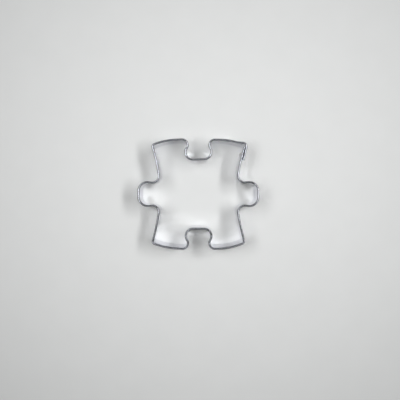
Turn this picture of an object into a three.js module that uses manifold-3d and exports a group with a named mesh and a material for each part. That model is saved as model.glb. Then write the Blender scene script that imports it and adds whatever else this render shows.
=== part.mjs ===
// Jigsaw-piece pastry cutter: one strip of thin sheet steel, hemmed along its top edge, bent into the
// outline of a jigsaw piece, lapped over itself at one corner and held there by a column of spot welds.
// Millimetres, +Z up. The origin is the middle of the outline on the table, +X runs from tab to tab,
// and +Y towards the socket beside the lapped corner.

import * as THREE from "three";
import { mergeVertices } from "three/addons/utils/BufferGeometryUtils.js";
import Module from "manifold-3d";

// Strip: the sheet and the hem that is folded outwards along its top edge.
const CUTTER_HEIGHT = 25;
const SHEET = 0.4;
const HEM_GAP = 0.45; // inside width of the fold
const HEM_LEG = 3.2; // straight part of the folded leg, below the fold

// Outline of the rim's middle line, first quadrant. Each bend is a corner point and its radius.
const TAB_REACH = 37.05;
const TAB_HALF_WIDTH = 8.15;
const TAB_RADIUS = 5.6;
const NECK_HALF_WIDTH = 6.4;
const ROOT_X = 23.55;
const ROOT_RADIUS = 4.1;
const WAIST_X = 25.4;
const WAIST_Y = 17.6;
const WAIST_RADIUS = 74;
const CORNER_X = 28.6;
const CORNER_Y = 30.2;
const CORNER_RADIUS = 1.5;
const CROWN_X = 20;
const CROWN_Y = 33.45;
const CROWN_RADIUS = 46;
const LIP_X = 3.9;
const LIP_Y = 33.95;
const LIP_RADIUS = 3.35;
const SOCKET_X = 11.65;
const SOCKET_FLOOR_Y = 21.4;
const SOCKET_RADIUS = 4.6;

// Lap: the outer end of the strip lies over the inner end, just below the corner in the first quadrant.
const LAP_LENGTH = 8;
const LAP_GAP = 0.1; // between the two layers
const LAP_EASE = 7; // run in which the outer layer comes back to the outline
const LAP_RISE = 4.5; // height in which the outer layer leans out over the inner hem

// Spot welds through both layers, in a column up the middle of the lap.
const WELD_COUNT = 3;
const WELD_DIAMETER = 2.6;
const WELD_CLEARANCE = 0.03;
const WELD_DISH = 0.08; // depth of the electrode's dent in each face
const WELD_LOWEST_Z = 3.6;
const WELD_PITCH = 4.6;

// Fineness of the facets.
const FACET_DEVIATION = 0.06; // furthest that a facet of the outline lies from its arc
const SHORTEST_RUN = 0.02; // two arcs closer than this are joined without a straight run
const FOLD_STEPS = 4;
const WELD_SIDES = 16;

const wasm = await Module();
wasm.setup();

// The rim's half width, and the height of the middle of the fold.
const RIM_HALF = SHEET + HEM_GAP / 2;
const FOLD_Z = CUTTER_HEIGHT - RIM_HALF;
const LEG_FOOT_Z = FOLD_Z - HEM_LEG;
const CONTACT_Z = LEG_FOOT_Z - LAP_RISE;

// How far the outer layer of the lap stands out: against the wall, and over the inner hem.
const LOW_SHIFT = SHEET + LAP_GAP;
const HIGH_SHIFT = 2 * RIM_HALF + LAP_GAP;

const steel = new THREE.MeshStandardMaterial({ color: 0xc9ccd2, roughness: 0.22, metalness: 1 });
const weldSteel = new THREE.MeshStandardMaterial({ color: 0xb4b2b3, roughness: 0.4, metalness: 1 });

// The bends of the whole outline, counterclockwise from the +X axis, as {point, radius}.
function outlineBends() {
  const quarter = [
    [TAB_REACH, TAB_HALF_WIDTH, TAB_RADIUS],
    [ROOT_X, NECK_HALF_WIDTH, ROOT_RADIUS],
    [WAIST_X, WAIST_Y, WAIST_RADIUS],
    [CORNER_X, CORNER_Y, CORNER_RADIUS],
    [CROWN_X, CROWN_Y, CROWN_RADIUS],
    [LIP_X, LIP_Y, LIP_RADIUS],
    [SOCKET_X, SOCKET_FLOOR_Y, SOCKET_RADIUS],
  ];
  const mirrored = quarter.toReversed().map(([x, y, radius]) => [-x, y, radius]);
  const half = [...quarter, ...mirrored];
  const otherHalf = half.map(([x, y, radius]) => [-x, -y, radius]);
  return [...half, ...otherHalf].map(([x, y, radius]) => ({ point: new THREE.Vector2(x, y), radius }));
}

// How much of each of its two edges a fillet of this radius takes at a bend.
function tangentLength(bends, i, radius) {
  const { point } = bends[i];
  const back = bends.at(i - 1).point.clone().sub(point);
  const ahead = bends[(i + 1) % bends.length].point.clone().sub(point);
  const opening = Math.acos(back.normalize().dot(ahead.normalize()));
  return radius / Math.tan(opening / 2);
}

// A bend's radius, reduced where its edges are too short for it and its neighbours.
function fittedRadius(bends, i) {
  const taken = (k) => tangentLength(bends, k, bends[k].radius);
  const shares = [bends.length + i - 1, i + 1].map((k) => {
    const neighbour = k % bends.length;
    const edge = bends[i].point.distanceTo(bends[neighbour].point);
    return edge / (taken(i) + taken(neighbour));
  });
  return bends[i].radius * Math.min(1, ...shares);
}

// The arc that rounds one bend.
function bendArc(bends, i) {
  const { point } = bends[i];
  const radius = fittedRadius(bends, i);
  const reach = tangentLength(bends, i, radius);
  const back = bends.at(i - 1).point.clone().sub(point).normalize();
  const ahead = bends[(i + 1) % bends.length].point.clone().sub(point).normalize();
  const toCentre = back.clone().add(ahead).normalize();
  const centre = point.clone().addScaledVector(toCentre, Math.hypot(reach, radius));
  const from = point.clone().addScaledVector(back, reach).sub(centre).angle();
  const to = point.clone().addScaledVector(ahead, reach).sub(centre).angle();
  const clockwise = back.cross(ahead) > 0;
  return new THREE.EllipseCurve(centre.x, centre.y, radius, radius, from, to, clockwise);
}

// The outline as arcs joined by straight runs, and the length along it to the start of the lapped corner.
function makeOutline() {
  const bends = outlineBends();
  const arcs = bends.map((_, i) => bendArc(bends, i));
  const path = new THREE.CurvePath();
  let cornerStart = 0;
  arcs.forEach((arc, i) => {
    if (bends[i].point.x === CORNER_X && bends[i].point.y === CORNER_Y) cornerStart = path.getLength();
    const next = arcs[(i + 1) % arcs.length];
    const run = new THREE.LineCurve(arc.getPoint(1), next.getPoint(0));
    path.add(arc);
    if (run.getLength() > SHORTEST_RUN) path.add(run);
    path.updateArcLengths();
  });
  return { path, cornerStart, length: path.getLength() };
}

const outline = makeOutline();

// A point on the outline and the outward direction there. The length along it may run past a full turn.
function outlineAt(distance) {
  let rest = distance % outline.length;
  const curve = outline.path.curves.find((piece) => {
    if (rest <= piece.getLength()) return true;
    rest -= piece.getLength();
    return false;
  });
  const share = rest / curve.getLength();
  const tangent = curve.getTangentAt(share);
  return { point: curve.getPointAt(share), outward: new THREE.Vector2(tangent.y, -tangent.x) };
}

// How many facets an arc or a straight run of the outline takes.
function facetCount(curve) {
  if (!curve.isEllipseCurve) return 1;
  const turn = curve.getLength() / curve.xRadius;
  return Math.ceil(turn / (2 * Math.acos(1 - FACET_DEVIATION / curve.xRadius)));
}

// Where the facets of the outline begin, as lengths along it: evenly in each arc and each straight run.
function facetStarts() {
  const starts = [];
  let done = 0;
  for (const curve of outline.path.curves) {
    const length = curve.getLength();
    const steps = facetCount(curve);
    for (let k = 0; k < steps; k++) starts.push(done + (length * k) / steps);
    done += length;
  }
  return starts;
}

// The strip runs from its outer end, once round the outline, to its inner end behind the outer one.
const stripStart = outline.cornerStart - LAP_LENGTH;
const stripEnd = stripStart + outline.length + LAP_LENGTH;

// Lengths along the outline where the strip has a section.
function stripDistances() {
  const starts = facetStarts();
  const turns = [...starts, ...starts.map((d) => d + outline.length)];
  const easeSteps = Math.ceil(LAP_EASE);
  const easeStep = LAP_EASE / easeSteps;
  const ease = Array.from({ length: easeSteps + 1 }, (_, k) => outline.cornerStart + k * easeStep);
  const inside = [...turns, ...ease].filter((d) => d > stripStart && d < stripEnd);
  const sorted = [stripStart, ...inside, stripEnd].sort((a, b) => a - b);
  const least = SHEET / 2;
  return sorted.filter((d, i) => i === 0 || i === sorted.length - 1 ||
    (d - sorted[i - 1] > least && stripEnd - d > least));
}

// Share of the outer layer's shift at a length along the strip: all of it over the lap, easing off after it.
function shiftShare(distance) {
  return 1 - THREE.MathUtils.smoothstep(distance, outline.cornerStart, outline.cornerStart + LAP_EASE);
}

// The outer layer's shift at a height, where it lies fully over the inner one.
function shiftAtHeight(z) {
  return THREE.MathUtils.lerp(LOW_SHIFT, HIGH_SHIFT, THREE.MathUtils.smoothstep(z, CONTACT_Z, LEG_FOOT_Z));
}

// The strip's section: across is measured outwards from the rim's middle line.
function stripSection() {
  const lean = [0, 0.25, 0.5, 0.75, 1].map((share) => THREE.MathUtils.lerp(CONTACT_Z, LEG_FOOT_Z, share));
  const wallLevels = [0, ...lean];
  const fold = (radius, from, to) => Array.from({ length: FOLD_STEPS + 1 }, (_, k) => {
    const angle = THREE.MathUtils.lerp(from, to, k / FOLD_STEPS);
    return new THREE.Vector2(radius * Math.cos(angle), FOLD_Z + radius * Math.sin(angle));
  });
  return [
    ...wallLevels.map((z) => new THREE.Vector2(-HEM_GAP / 2, z)),
    ...fold(HEM_GAP / 2, Math.PI, 0),
    new THREE.Vector2(HEM_GAP / 2, LEG_FOOT_Z),
    new THREE.Vector2(RIM_HALF, LEG_FOOT_Z),
    ...fold(RIM_HALF, 0, Math.PI),
    ...wallLevels.toReversed().map((z) => new THREE.Vector2(-RIM_HALF, z)),
  ];
}

// The strip as one closed body: its section at each distance, joined by facets and capped at both ends.
function stripGeometry() {
  const section = stripSection();
  const distances = stripDistances();
  const positions = [];
  for (const distance of distances) {
    const { point, outward } = outlineAt(distance);
    for (const { x: across, y: z } of section) {
      const out = across + shiftShare(distance) * shiftAtHeight(z);
      positions.push(point.x + outward.x * out, point.y + outward.y * out, z);
    }
  }
  const n = section.length;
  const index = [];
  for (let i = 0; i + 1 < distances.length; i++) {
    for (let j = 0; j < n; j++) {
      const [a, b] = [i * n + j, i * n + ((j + 1) % n)];
      index.push(a, a + n, b, b, a + n, b + n);
    }
  }
  const lastRing = (distances.length - 1) * n;
  for (const [a, b, c] of THREE.ShapeUtils.triangulateShape(section, [])) {
    index.push(a, b, c, lastRing + c, lastRing + b, lastRing + a);
  }
  const geometry = new THREE.BufferGeometry();
  geometry.setAttribute("position", new THREE.Float32BufferAttribute(positions, 3));
  geometry.setIndex(index);
  return geometry;
}

// A disc through both layers of the lap, with an electrode's shallow dent in each face. Its axis is Y.
function weldGeometry() {
  const half = (2 * SHEET + LAP_GAP) / 2;
  const radius = WELD_DIAMETER / 2;
  const dent = [[0, half - WELD_DISH], [radius * 0.6, half - WELD_DISH * 0.8], [radius, half]];
  const upper = dent.map(([r, y]) => new THREE.Vector2(r, y));
  const lower = dent.toReversed().map(([r, y]) => new THREE.Vector2(r, -y));
  return new THREE.LatheGeometry([...upper, ...lower].toReversed(), WELD_SIDES);
}

// The hole in the strip that a weld fills, with its axis along Y.
function weldHoleGeometry() {
  const radius = WELD_DIAMETER / 2 + WELD_CLEARANCE;
  return new THREE.CylinderGeometry(radius, radius, 2 * HIGH_SHIFT, WELD_SIDES);
}

// A weld's place: in the middle of the lap, with its axis square to the wall.
function placeWeld(object, i) {
  const { point, outward } = outlineAt(stripStart + LAP_LENGTH / 2);
  const middle = point.addScaledVector(outward, -RIM_HALF + SHEET + LAP_GAP / 2);
  object.position.set(middle.x, middle.y, WELD_LOWEST_Z + i * WELD_PITCH);
  const axis = new THREE.Vector3(outward.x, outward.y, 0);
  object.quaternion.setFromUnitVectors(new THREE.Vector3(0, 1, 0), axis);
  object.updateMatrix();
  return object;
}

// A closed geometry as a solid, for cutting.
function solidOf(geometry) {
  const bare = geometry.clone();
  bare.deleteAttribute("normal");
  bare.deleteAttribute("uv");
  const merged = mergeVertices(bare);
  return new wasm.Manifold(new wasm.Mesh({
    numProp: 3,
    vertProperties: new Float32Array(merged.attributes.position.array),
    triVerts: new Uint32Array(merged.index.array),
  }));
}

// A solid as a geometry, for its mesh.
function geometryOf(solid) {
  const { vertProperties, triVerts } = solid.getMesh();
  const geometry = new THREE.BufferGeometry();
  geometry.setAttribute("position", new THREE.BufferAttribute(vertProperties, 3));
  geometry.setIndex(new THREE.BufferAttribute(triVerts, 1));
  geometry.computeVertexNormals();
  return geometry;
}

// The hemmed strip with a hole through both layers for each weld.
function makeStrip() {
  let solid = solidOf(stripGeometry());
  for (let i = 0; i < WELD_COUNT; i++) {
    const hole = placeWeld(new THREE.Mesh(weldHoleGeometry()), i);
    solid = solid.subtract(solidOf(hole.geometry.applyMatrix4(hole.matrix)));
  }
  const strip = new THREE.Mesh(geometryOf(solid), steel);
  strip.name = "hemmed_strip";
  return strip;
}

function makeWeld(i) {
  const weld = placeWeld(new THREE.Mesh(weldGeometry(), weldSteel), i);
  weld.name = `spot_weld_${i + 1}`;
  return weld;
}

const cutter = new THREE.Group();
cutter.name = "jigsaw_piece_cutter";
cutter.add(makeStrip());
for (let i = 0; i < WELD_COUNT; i++) cutter.add(makeWeld(i));

export default cutter;
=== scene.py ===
# Jigsaw-piece pastry cutter on a pale table, seen from almost straight above.
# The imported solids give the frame. A finer strip and finer welds, of the same sizes, stand in their place.
import math

import bpy
import numpy as np
from mathutils import Matrix, Vector

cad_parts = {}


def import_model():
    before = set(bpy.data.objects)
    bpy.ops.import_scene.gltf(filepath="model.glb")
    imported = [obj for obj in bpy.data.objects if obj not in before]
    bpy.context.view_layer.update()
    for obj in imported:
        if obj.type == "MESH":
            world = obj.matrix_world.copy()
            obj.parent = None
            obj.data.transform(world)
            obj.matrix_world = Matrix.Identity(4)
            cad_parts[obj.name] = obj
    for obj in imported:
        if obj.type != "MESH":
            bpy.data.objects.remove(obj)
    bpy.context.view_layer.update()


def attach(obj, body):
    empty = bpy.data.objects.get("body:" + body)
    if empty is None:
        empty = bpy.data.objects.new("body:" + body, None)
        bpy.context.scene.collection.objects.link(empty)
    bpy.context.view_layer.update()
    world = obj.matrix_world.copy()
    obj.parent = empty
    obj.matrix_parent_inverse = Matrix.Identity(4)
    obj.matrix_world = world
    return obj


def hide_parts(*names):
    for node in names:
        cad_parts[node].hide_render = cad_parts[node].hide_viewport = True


MM = 0.001

# Strip, in millimetres: the same driving sizes as the solids.
CUTTER_HEIGHT = 25.0
SHEET = 0.4
HEM_GAP = 0.45
HEM_LEG = 3.2
FOLD_RISE = 0.95  # the fold is drawn a little taller than a half circle

# Outline of the rim's middle line, first quadrant: corner point and bend radius.
QUARTER = [
    (37.05, 8.15, 5.6),  # tab
    (23.55, 6.4, 4.1),  # root of the tab
    (25.4, 17.6, 74.0),  # waist of the side wall
    (28.6, 30.2, 1.5),  # flared corner
    (20.0, 33.45, 46.0),  # crown beside the socket
    (3.9, 33.95, 3.35),  # lip of the socket
    (11.65, 21.4, 4.6),  # socket
]
CORNER_BEND = 3

# Lap of the strip's two ends, and the welds through it.
LAP_LENGTH = 8.0
LAP_GAP = 0.1
LAP_EASE = 7.0
LAP_RISE = 4.5
WELD_COUNT = 3
WELD_DIAMETER = 2.6
WELD_LOWEST_Z = 3.6
WELD_PITCH = 4.6

# Pressed face of a weld: share of its radius, and lift over the sheet.
WELD_DISH = [
    (0.0, 0.004),
    (0.35, 0.006),
    (0.6, 0.012),
    (0.74, 0.028),
    (0.84, 0.05),
    (0.92, 0.045),
    (0.98, 0.015),
]
WELD_SINK = 0.02  # how far below the sheet's face the weld's side begins
HEAT_DEPTH = 2.0  # the welds' heat tints no steel further than this through the sheet

# Fineness of the drawn strip and welds.
STATION_STEP = 0.55
LEAST_STEP_SHARE = 0.2
BEND_STEP_DEGREES = 6
WALL_STEP = 0.9
LEG_LEVELS = 6
FOLD_STEPS = 18
SHARP_DEGREES = 40
BURR_SHARE = 0.12
WELD_SIDES = 48

# Rolled sheet: noise rate per millimetre along and across the strip, and detail.
ROLLING_LINES = (0.05, 14.0, 4)
SMUDGES = (0.16, 0.22, 3)
SCUFFS = (1.1, 0.25, 5)
SCUFF_SHARE = 0.35
STEEL_BUMP = 0.3
STEEL_BUMP_METRES = 0.000002
STEEL_TONES = [(0.3, (0.6, 0.605, 0.62)), (0.72, (0.7, 0.705, 0.72))]
STEEL_GLOSS = [(0.35, 0.04), (0.75, 0.1)]

# Straw to blue tint round a weld, from the cool steel to the weld's edge.
HEAT_TINT = [
    (0.0, (1, 1, 1)),
    (0.35, (0.98, 0.9, 0.74)),
    (0.7, (0.72, 0.6, 0.62)),
    (1.0, (0.5, 0.56, 0.72)),
]

# Weld face, from its middle to its edge, and its pressed grain.
WELD_TINT = [
    (0.0, (0.56, 0.56, 0.57)),
    (0.55, (0.62, 0.61, 0.6)),
    (0.8, (0.63, 0.54, 0.4)),
    (1.0, (0.37, 0.4, 0.5)),
]
WELD_GRAIN = 4200.0
WELD_GRAIN_DETAIL = 4.0
WELD_GLOSS = [(0.3, 0.3), (0.7, 0.5)]
WELD_BUMP = 0.4
WELD_BUMP_METRES = 0.00003

# Tint of the walls in a glancing view.
WALL_EDGE_TONE = (0.78, 0.78, 0.81)

# Painted shade on the fold: its colour and glancing tint are darkened so that it reflects less light; also
# how its polish differs, and how far the change is drawn out.
FOLD_SHADE_TONE = (0.4, 0.405, 0.43)
FOLD_SHADE_EDGE_TONE = (0.3, 0.3, 0.325)
FOLD_ROUGHNESS = 0.1
FOLD_BLEND = 0.25

# Unevenness of a strip bent by hand round a former: each wave's turn per millimetre, phase and share.
WAVE_MM = 0.09
WAVE_FADE = 9.0
LONG_WAVES = [(0.171, 0.4, 1.0), (0.293, 2.1, 0.6)]
EDGE_WAVE = (0.417, 1.2, 0.5)

# Camera, from the photograph's perspective: the frame is 400 pixels square.
FRAME_PIXELS = 400.0
FOCAL_PIXELS = 593.0
SENSOR = 36.0
CAMERA_MM = (-0.31, 3.79, 390.0)
AIM_MM = (1.0, -4.1, 0.0)
CLIP_NEAR = 0.01  # metres
CLIP_FAR = 20.0  # metres

# Lamps that hang level over the table, in metres: name, x, y, breadth along x and y, power.
LAMP_HEIGHT = 0.8
LAMPS = [
    ("lamp_right", 0.36, 0.09, 0.11, 0.42, 3.6),
    ("lamp_left", -0.31, 0.09, 0.2, 0.44, 2.25),
    ("lamp_middle", -0.05, 0.05, 0.32, 0.18, 1.35),
]

# Glow of the room by the height of the direction: pale walls low down, a dim ceiling.
ROOM_GLOW = [(0.0, 0.34), (0.1, 0.32), (0.28, 0.1), (0.5, 0.07), (0.8, 0.1), (1.0, 0.12)]

# Pool of light painted into the table's colour, in metres: how far out it is drawn, and its breadth.
POOL_CENTRE = (0.008, 0.02, 0.0)
POOL_REACH = 0.25
POOL_HALF = 0.52
POOL_STOPS = (0.0, 0.1, 0.2, 0.3, 0.4, 0.55, 0.75, 1.0)

# Table top: how far it reaches, in metres, and its faint mottle.
TABLE_REACH = 3.0
TABLE_MOTTLE = 60.0
TABLE_MOTTLE_DETAIL = 3.0
TABLE_TONES = [(0.3, (0.795, 0.805, 0.8)), (0.7, (0.81, 0.82, 0.815))]
TABLE_ROUGHNESS = 0.6
TABLE_SHINE = 0.25

# How much the light that the steel throws on the table is softened.
GLOSSY_BLUR = 0.2

RIM_HALF = SHEET + HEM_GAP / 2
FOLD_Z = CUTTER_HEIGHT - FOLD_RISE
LEG_FOOT_Z = CUTTER_HEIGHT - RIM_HALF - HEM_LEG
CONTACT_Z = LEG_FOOT_Z - LAP_RISE
LOW_SHIFT = SHEET + LAP_GAP
HIGH_SHIFT = 2 * RIM_HALF + LAP_GAP


def smoothstep(value, low, high):
    t = np.clip((np.asarray(value, float) - low) / (high - low), 0, 1)
    return t * t * (3 - 2 * t)


class Outline:
    """The rim's middle line as arcs and straight runs, read by the length along it."""

    def __init__(self, quarter):
        half = quarter + [(-x, y, r) for x, y, r in reversed(quarter)]
        bends = half + [(-x, -y, r) for x, y, r in half]
        points = [np.array(bend[:2]) for bend in bends]
        self.pieces = []
        self.starts = []
        self.length = 0.0
        ends = []
        for i, (_, _, radius) in enumerate(bends):
            ends.append(self._arc(points[i - 1], points[i], points[(i + 1) % len(points)], radius))
        for i, (arc, _, last) in enumerate(ends):
            if i == CORNER_BEND:
                self.corner_start = self.length
            self._add(arc, arc["radius"] * abs(arc["sweep"]))
            following = ends[(i + 1) % len(ends)][1]
            run = following - last
            run_length = float(np.hypot(*run))
            self._add({"from": last, "along": run / max(run_length, 1e-9)}, run_length)

    def _add(self, piece, length):
        self.pieces.append(piece)
        self.starts.append(self.length)
        self.length += length

    @staticmethod
    def _arc(before, point, after, radius):
        """The arc that rounds one bend, and its first and last point."""
        back = (before - point) / np.hypot(*(before - point))
        ahead = (after - point) / np.hypot(*(after - point))
        opening = math.acos(float(np.clip(back @ ahead, -1, 1)))
        reach = radius / math.tan(opening / 2)
        to_centre = (back + ahead) / np.hypot(*(back + ahead))
        centre = point + to_centre * math.hypot(reach, radius)
        first, last = point + back * reach, point + ahead * reach
        left_turn = back[0] * ahead[1] - back[1] * ahead[0] < 0
        sweep = (math.pi - opening) * (1 if left_turn else -1)
        start = math.atan2(*(first - centre)[::-1])
        return {"centre": centre, "radius": radius, "start": start, "sweep": sweep}, first, last

    def at(self, distance):
        """The point at a length along the outline, and the outward direction there."""
        rest = distance % self.length
        i = int(np.searchsorted(self.starts, rest, side="right")) - 1
        piece, rest = self.pieces[i], rest - self.starts[i]
        if "along" in piece:
            point, tangent = piece["from"] + piece["along"] * rest, piece["along"]
        else:
            turn = math.copysign(1, piece["sweep"])
            angle = piece["start"] + turn * rest / piece["radius"]
            ray = np.array([math.cos(angle), math.sin(angle)])
            point = piece["centre"] + piece["radius"] * ray
            tangent = turn * np.array([-ray[1], ray[0]])
        return point, np.array([tangent[1], -tangent[0]])


OUTLINE = Outline(QUARTER)
STRIP_START = OUTLINE.corner_start - LAP_LENGTH
STRIP_END = STRIP_START + OUTLINE.length + LAP_LENGTH


def shift_share(distance):
    """Share of the outer layer's shift at a length along the strip."""
    return 1 - smoothstep(distance, OUTLINE.corner_start, OUTLINE.corner_start + LAP_EASE)


def shift_at_height(z):
    """How far the outer layer stands out where it lies fully over the inner one."""
    return LOW_SHIFT + (HIGH_SHIFT - LOW_SHIFT) * smoothstep(z, CONTACT_Z, LEG_FOOT_Z)


def wave(distance, z):
    """Small unevenness of the wall, none at the lap, a little more at the free lower edge."""
    s = distance - STRIP_START
    second_lap = STRIP_END - STRIP_START - LAP_LENGTH
    fade = smoothstep(s, LAP_EASE, LAP_EASE + LAP_LENGTH + WAVE_FADE)
    fade *= 1 - smoothstep(s, second_lap - WAVE_FADE, second_lap)
    long_wave = sum(share * math.sin(s * turn + phase) for turn, phase, share in LONG_WAVES)
    turn, phase, share = EDGE_WAVE
    low_edge = share * math.sin(s * turn + phase) * (1 - z / CUTTER_HEIGHT)
    return WAVE_MM * fade * (long_wave + low_edge)


def strip_section():
    """The strip's section as (across, height) points, once round its skin."""
    levels = np.linspace(0, FOLD_Z, int(FOLD_Z / WALL_STEP) + 1)
    burr = SHEET * BURR_SHARE
    leg_levels = np.linspace(FOLD_Z, LEG_FOOT_Z, LEG_LEVELS)
    inner_fold = np.linspace(math.pi, 0, FOLD_STEPS + 1)[1:-1]
    outer_fold = np.linspace(0, math.pi, FOLD_STEPS + 1)[1:-1]
    inside, outside = HEM_GAP / 2, RIM_HALF
    points = [(-inside - burr, 0.0)]
    points += [(-inside, max(z, burr)) for z in levels]
    points += [(inside * math.cos(a), FOLD_Z + (FOLD_RISE - SHEET) * math.sin(a)) for a in inner_fold]
    points += [(inside, z) for z in leg_levels[:-1]]
    points += [(inside, LEG_FOOT_Z + burr), (inside + burr, LEG_FOOT_Z)]
    points += [(outside - burr, LEG_FOOT_Z), (outside, LEG_FOOT_Z + burr)]
    points += [(outside, z) for z in leg_levels[:-1][::-1]]
    points += [(outside * math.cos(a), FOLD_Z + FOLD_RISE * math.sin(a)) for a in outer_fold]
    points += [(-outside, max(z, burr)) for z in levels[::-1]]
    points += [(-outside + burr, 0.0)]
    return np.array(points)


def strip_stations():
    """Lengths along the outline where the strip has a section, closer in the tight bends."""
    marks = []
    turns = [0, OUTLINE.length]
    for start, piece in zip(OUTLINE.starts, OUTLINE.pieces):
        if "along" in piece:
            marks += [start + turn for turn in turns]
            continue
        length = piece["radius"] * abs(piece["sweep"])
        by_length = math.ceil(length / STATION_STEP)
        by_turn = math.ceil(abs(piece["sweep"]) / math.radians(BEND_STEP_DEGREES))
        steps = max(by_length, by_turn)
        for k in range(steps + 1):
            marks += [start + length * k / steps + turn for turn in turns]
    marks += list(np.arange(STRIP_START, STRIP_END, STATION_STEP * 2))
    marks = sorted(m for m in marks if STRIP_START < m < STRIP_END)
    kept = [STRIP_START]
    least = STATION_STEP * LEAST_STEP_SHARE
    for m in marks:
        if m - kept[-1] > least and STRIP_END - m > least:
            kept.append(m)
    return kept + [STRIP_END]


def weld_places():
    """Middle point and outward direction of each weld, in millimetres."""
    point, outward = OUTLINE.at(STRIP_START + LAP_LENGTH / 2)
    middle = point + outward * (-RIM_HALF + SHEET + LAP_GAP / 2)
    places = []
    for i in range(WELD_COUNT):
        places.append((np.array([*middle, WELD_LOWEST_Z + i * WELD_PITCH]), np.array([*outward, 0.0])))
    return places


def link(obj):
    bpy.context.scene.collection.objects.link(obj)
    return obj


def make_strip():
    """The drawn strip: its section swept along the outline, smooth, with lengths for the rolling lines."""
    section = strip_section()
    stations = strip_stations()
    skin = np.concatenate([[0], np.cumsum(np.hypot(*np.diff(section, axis=0).T))])
    n = len(section)
    verts, uvs = [], []
    for s in stations:
        point, outward = OUTLINE.at(s)
        share = float(shift_share(s))
        for (across, z), v in zip(section, skin):
            out = across + share * float(shift_at_height(z)) + wave(s, z)
            verts.append((*(point + outward * out) * MM, z * MM))
            uvs.append((s - STRIP_START, v))
    faces = []
    for i in range(len(stations) - 1):
        for j in range(n):
            a, b = i * n + j, i * n + (j + 1) % n
            faces.append((a, a + n, b + n, b))
    last = (len(stations) - 1) * n
    faces.append(tuple(range(n)))
    faces.append(tuple(last + j for j in reversed(range(n))))
    mesh = bpy.data.meshes.new("drawn_strip")
    mesh.from_pydata(verts, [], faces)
    layer = mesh.uv_layers.new(name="strip_mm")
    loop_verts = np.zeros(len(mesh.loops), int)
    mesh.loops.foreach_get("vertex_index", loop_verts)
    layer.data.foreach_set("uv", np.array(uvs)[loop_verts].ravel())
    heat = mesh.attributes.new("heat", "FLOAT", "POINT")
    heat.data.foreach_set("value", heat_at(np.array(verts) / MM))
    fold = mesh.attributes.new("fold", "FLOAT", "POINT")
    heights = np.array(verts)[:, 2] / MM
    fold.data.foreach_set("value", smoothstep(heights, FOLD_Z - FOLD_BLEND, FOLD_Z + FOLD_BLEND))
    mesh.polygons.foreach_set("use_smooth", [True] * len(mesh.polygons))
    mesh.set_sharp_from_angle(angle=math.radians(SHARP_DEGREES))
    return link(bpy.data.objects.new("drawn_strip", mesh))


def heat_at(points):
    """How strongly the welds have tinted the steel at each point, 0 to 1."""
    heat = np.zeros(len(points))
    for middle, outward in weld_places():
        offset = points - middle
        along = offset @ outward
        radius = np.sqrt(np.maximum((offset**2).sum(1) - along**2, 0))
        near = np.abs(along) < HEAT_DEPTH
        heat = np.maximum(heat, near * (1 - smoothstep(radius, WELD_DIAMETER / 2, WELD_DIAMETER)))
    return heat


def make_weld(i, middle, outward, material):
    """A pressed weld spot through both layers: a low ring round a shallow dish, on each face."""
    half = (2 * SHEET + LAP_GAP) / 2
    r = WELD_DIAMETER / 2
    upper = [(share * r, half + lift) for share, lift in WELD_DISH]
    side_top = half - WELD_SINK
    profile = upper + [(r, side_top), (r, -side_top)] + [(x, -y) for x, y in reversed(upper)]
    sides = WELD_SIDES
    axis = Vector(outward)
    across = Vector((0, 0, 1))
    side = axis.cross(across)
    verts, faces = [], []
    rings = profile[1:-1]
    centre = Vector(middle)
    for radius, height in rings:
        for k in range(sides):
            angle = 2 * math.pi * k / sides
            ray = side * math.cos(angle) + across * math.sin(angle)
            verts.append((centre + ray * radius + axis * height) * MM)
    for ring in range(len(rings) - 1):
        for k in range(sides):
            a, b = ring * sides + k, ring * sides + (k + 1) % sides
            faces.append((a, b, b + sides, a + sides))
    top, bottom = len(verts), len(verts) + 1
    verts += [(centre + axis * profile[0][1]) * MM, (centre + axis * profile[-1][1]) * MM]
    base = (len(rings) - 1) * sides
    for k in range(sides):
        following = (k + 1) % sides
        faces.append((top, following, k))
        faces.append((bottom, base + k, base + following))
    mesh = bpy.data.meshes.new(f"weld_spot_{i + 1}")
    mesh.from_pydata(verts, [], faces)
    mesh.polygons.foreach_set("use_smooth", [True] * len(mesh.polygons))
    radius = mesh.attributes.new("radius", "FLOAT", "POINT")
    offsets = np.array([(Vector(v) / MM - centre) for v in verts])
    along = offsets @ np.array(outward)
    spread = np.sqrt(np.maximum((offsets**2).sum(1) - along**2, 0)) / r
    radius.data.foreach_set("value", spread)
    mesh.materials.append(material)
    return link(bpy.data.objects.new(f"weld_spot_{i + 1}", mesh))


def new_material(name):
    material = bpy.data.materials.new(name)
    material.use_nodes = True
    tree = material.node_tree
    return material, tree, tree.nodes["Principled BSDF"]


def node(tree, kind, **settings):
    made = tree.nodes.new(kind)
    for key, value in settings.items():
        setattr(made, key, value)
    return made


def ramp(tree, stops):
    made = node(tree, "ShaderNodeValToRGB")
    elements = made.color_ramp.elements
    while len(elements) < len(stops):
        elements.new(0.5)
    for element, (position, color) in zip(elements, stops):
        element.position = position
        element.color = (*color, 1)
    return made


def grey(value):
    return (value, value, value)


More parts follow.
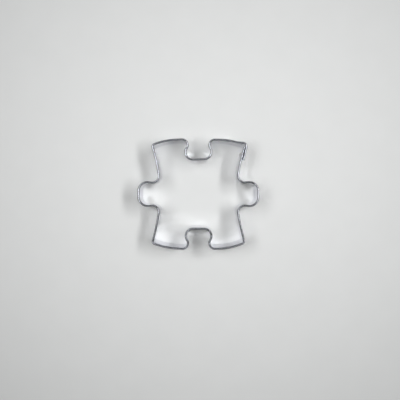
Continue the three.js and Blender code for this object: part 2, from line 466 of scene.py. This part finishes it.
def steel_material():
    """Bright rolled sheet with lines, smudges and scuffs, with painted shade on the fold (its colour
    darkened to dim its reflections), tinted at the welds.
    """
    material, tree, shader = new_material("bright_strip_steel")
    to = tree.links.new
    shader.inputs["Metallic"].default_value = 1.0
    uv = node(tree, "ShaderNodeUVMap", uv_map="strip_mm")

    def lines(scale_along, scale_across, detail):
        mapping = node(tree, "ShaderNodeMapping")
        mapping.inputs["Scale"].default_value = (scale_along, scale_across, 1)
        noise = node(tree, "ShaderNodeTexNoise")
        noise.inputs["Scale"].default_value = 1.0
        noise.inputs["Detail"].default_value = detail
        to(uv.outputs["UV"], mapping.inputs["Vector"])
        to(mapping.outputs["Vector"], noise.inputs["Vector"])
        return noise

    rolling = lines(*ROLLING_LINES)
    smudge = lines(*SMUDGES)
    scuff = lines(*SCUFFS)

    tone = ramp(tree, STEEL_TONES)
    to(rolling.outputs["Fac"], tone.inputs["Fac"])
    heat = node(tree, "ShaderNodeAttribute", attribute_name="heat")
    tint = ramp(tree, HEAT_TINT)
    to(heat.outputs["Fac"], tint.inputs["Fac"])
    colour = node(tree, "ShaderNodeMix", data_type="RGBA", blend_type="MULTIPLY")
    colour.inputs["Factor"].default_value = 1.0
    to(tone.outputs["Color"], colour.inputs["A"])
    to(tint.outputs["Color"], colour.inputs["B"])
    # painted shade: the fold's colour and glancing tint are darkened so that it reflects less light
    fold = node(tree, "ShaderNodeAttribute", attribute_name="fold")
    fold_shade = node(tree, "ShaderNodeMix", data_type="RGBA", blend_type="MULTIPLY")
    fold_shade.inputs["B"].default_value = (*FOLD_SHADE_TONE, 1)
    to(fold.outputs["Fac"], fold_shade.inputs["Factor"])
    to(colour.outputs["Result"], fold_shade.inputs["A"])
    to(fold_shade.outputs["Result"], shader.inputs["Base Color"])

    glance = node(tree, "ShaderNodeMix", data_type="RGBA")
    glance.inputs["A"].default_value = (*WALL_EDGE_TONE, 1)
    glance.inputs["B"].default_value = (*FOLD_SHADE_EDGE_TONE, 1)
    to(fold.outputs["Fac"], glance.inputs["Factor"])
    to(glance.outputs["Result"], shader.inputs["Specular Tint"])

    gloss = ramp(tree, [(place, grey(value)) for place, value in STEEL_GLOSS])
    to(smudge.outputs["Fac"], gloss.inputs["Fac"])
    polish = node(tree, "ShaderNodeMix")
    polish.inputs["B"].default_value = FOLD_ROUGHNESS
    to(fold.outputs["Fac"], polish.inputs["Factor"])
    to(gloss.outputs["Color"], polish.inputs["A"])
    to(polish.outputs["Result"], shader.inputs["Roughness"])

    relief = node(tree, "ShaderNodeMath", operation="MULTIPLY_ADD")
    relief.inputs[1].default_value = SCUFF_SHARE
    to(scuff.outputs["Fac"], relief.inputs[0])
    to(rolling.outputs["Fac"], relief.inputs[2])
    bump = node(tree, "ShaderNodeBump")
    bump.inputs["Strength"].default_value = STEEL_BUMP
    bump.inputs["Distance"].default_value = STEEL_BUMP_METRES
    to(relief.outputs["Value"], bump.inputs["Height"])
    to(bump.outputs["Normal"], shader.inputs["Normal"])
    return material


def weld_material():
    """Duller pressed steel: a grey dish, a straw and blue ring at its edge."""
    material, tree, shader = new_material("pressed_weld_steel")
    to = tree.links.new
    shader.inputs["Metallic"].default_value = 1.0
    radius = node(tree, "ShaderNodeAttribute", attribute_name="radius")
    tint = ramp(tree, WELD_TINT)
    to(radius.outputs["Fac"], tint.inputs["Fac"])
    to(tint.outputs["Color"], shader.inputs["Base Color"])
    place = node(tree, "ShaderNodeTexCoord")
    grain = node(tree, "ShaderNodeTexNoise")
    grain.inputs["Scale"].default_value = WELD_GRAIN
    grain.inputs["Detail"].default_value = WELD_GRAIN_DETAIL
    to(place.outputs["Object"], grain.inputs["Vector"])
    rough = ramp(tree, [(at, grey(value)) for at, value in WELD_GLOSS])
    to(grain.outputs["Fac"], rough.inputs["Fac"])
    to(rough.outputs["Color"], shader.inputs["Roughness"])
    bump = node(tree, "ShaderNodeBump")
    bump.inputs["Strength"].default_value = WELD_BUMP
    bump.inputs["Distance"].default_value = WELD_BUMP_METRES
    to(grain.outputs["Fac"], bump.inputs["Height"])
    to(bump.outputs["Normal"], shader.inputs["Normal"])
    return material


def pool_light(distance):
    """Share of the light that is left at a distance from the pool's middle, in metres."""
    return 1 / (1 + (distance / POOL_HALF) ** 2) ** 2


def table_material():
    """Matt pale laminate with a very faint mottle, with a pool of light painted into its colour that falls
    off slowly.
    """
    material, tree, shader = new_material("pale_table")
    to = tree.links.new
    place = node(tree, "ShaderNodeTexCoord")
    mottle = node(tree, "ShaderNodeTexNoise")
    mottle.inputs["Scale"].default_value = TABLE_MOTTLE
    mottle.inputs["Detail"].default_value = TABLE_MOTTLE_DETAIL
    to(place.outputs["Object"], mottle.inputs["Vector"])
    tone = ramp(tree, TABLE_TONES)
    to(mottle.outputs["Fac"], tone.inputs["Fac"])
    reach = node(tree, "ShaderNodeVectorMath", operation="DISTANCE")
    reach.inputs[1].default_value = POOL_CENTRE
    to(place.outputs["Object"], reach.inputs[0])
    share = node(tree, "ShaderNodeMath", operation="DIVIDE")
    share.inputs[1].default_value = POOL_REACH
    to(reach.outputs["Value"], share.inputs[0])
    # painted light: the pool of light is multiplied into the table's colour
    pool = ramp(tree, [(stop, grey(pool_light(stop * POOL_REACH))) for stop in POOL_STOPS])
    to(share.outputs["Value"], pool.inputs["Fac"])
    colour = node(tree, "ShaderNodeMix", data_type="RGBA", blend_type="MULTIPLY")
    colour.inputs["Factor"].default_value = 1.0
    to(tone.outputs["Color"], colour.inputs["A"])
    to(pool.outputs["Color"], colour.inputs["B"])
    to(colour.outputs["Result"], shader.inputs["Base Color"])
    shader.inputs["Roughness"].default_value = TABLE_ROUGHNESS
    shader.inputs["Specular IOR Level"].default_value = TABLE_SHINE
    return material


def make_table():
    mesh = bpy.data.meshes.new("table_top")
    signs = [(-1, -1), (1, -1), (1, 1), (-1, 1)]
    mesh.from_pydata([(x * TABLE_REACH, y * TABLE_REACH, 0) for x, y in signs], [], [(0, 1, 2, 3)])
    mesh.materials.append(table_material())
    table = link(bpy.data.objects.new("table_top", mesh))


def aim(obj, place, target):
    """Puts the camera at a place, facing the target, with +Y up in its picture."""
    forward = (target - place).normalized()
    right = forward.cross(Vector((0, 1, 0))).normalized()
    turn = Matrix((right, right.cross(forward), -forward)).transposed()
    obj.matrix_world = Matrix.Translation(place) @ turn.to_4x4()


def make_lamp(name, x, y, width, length, power):
    """A soft oblong lamp that faces straight down."""
    lamp = bpy.data.lights.new(name, "AREA")
    lamp.shape = "RECTANGLE"
    lamp.size = width
    lamp.size_y = length
    lamp.energy = power
    obj = link(bpy.data.objects.new(name, lamp))
    obj.location = (x, y, LAMP_HEIGHT)


def make_world():
    """A dim room with paler walls."""
    world = bpy.data.worlds.new("dim_room")
    world.use_nodes = True
    tree = world.node_tree
    to = tree.links.new
    place = node(tree, "ShaderNodeTexCoord")
    split = node(tree, "ShaderNodeSeparateXYZ")
    to(place.outputs["Generated"], split.inputs["Vector"])
    sky = ramp(tree, [(height, grey(glow)) for height, glow in ROOM_GLOW])
    to(split.outputs["Z"], sky.inputs["Fac"])
    background = tree.nodes["Background"]
    background.inputs["Strength"].default_value = 1.0
    to(sky.outputs["Color"], background.inputs["Color"])
    bpy.context.scene.world = world


def make_camera():
    data = bpy.data.cameras.new("overhead")
    data.sensor_width = SENSOR
    data.lens = FOCAL_PIXELS / FRAME_PIXELS * SENSOR
    camera = link(bpy.data.objects.new("overhead", data))
    aim(camera, Vector(CAMERA_MM) * MM, Vector(AIM_MM) * MM)
    data.clip_start = CLIP_NEAR
    data.clip_end = CLIP_FAR
    bpy.context.scene.camera = camera


def main():
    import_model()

    make_camera()
    make_table()
    make_world()
    for lamp in LAMPS:
        make_lamp(*lamp)

    strip = make_strip()
    strip.data.materials.append(steel_material())
    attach(strip, "root")
    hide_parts("hemmed_strip")

    weld_steel = weld_material()
    for i, (middle, outward) in enumerate(weld_places()):
        weld = make_weld(i, middle, outward, weld_steel)
        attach(weld, "root")
        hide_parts(f"spot_weld_{i + 1}")

    scene = bpy.context.scene
    scene.view_settings.view_transform = "Standard"
    scene.cycles.caustics_reflective = True
    scene.cycles.blur_glossy = GLOSSY_BLUR
    scene.cycles.sample_clamp_indirect = 0

    bpy.context.view_layer.update()


main()
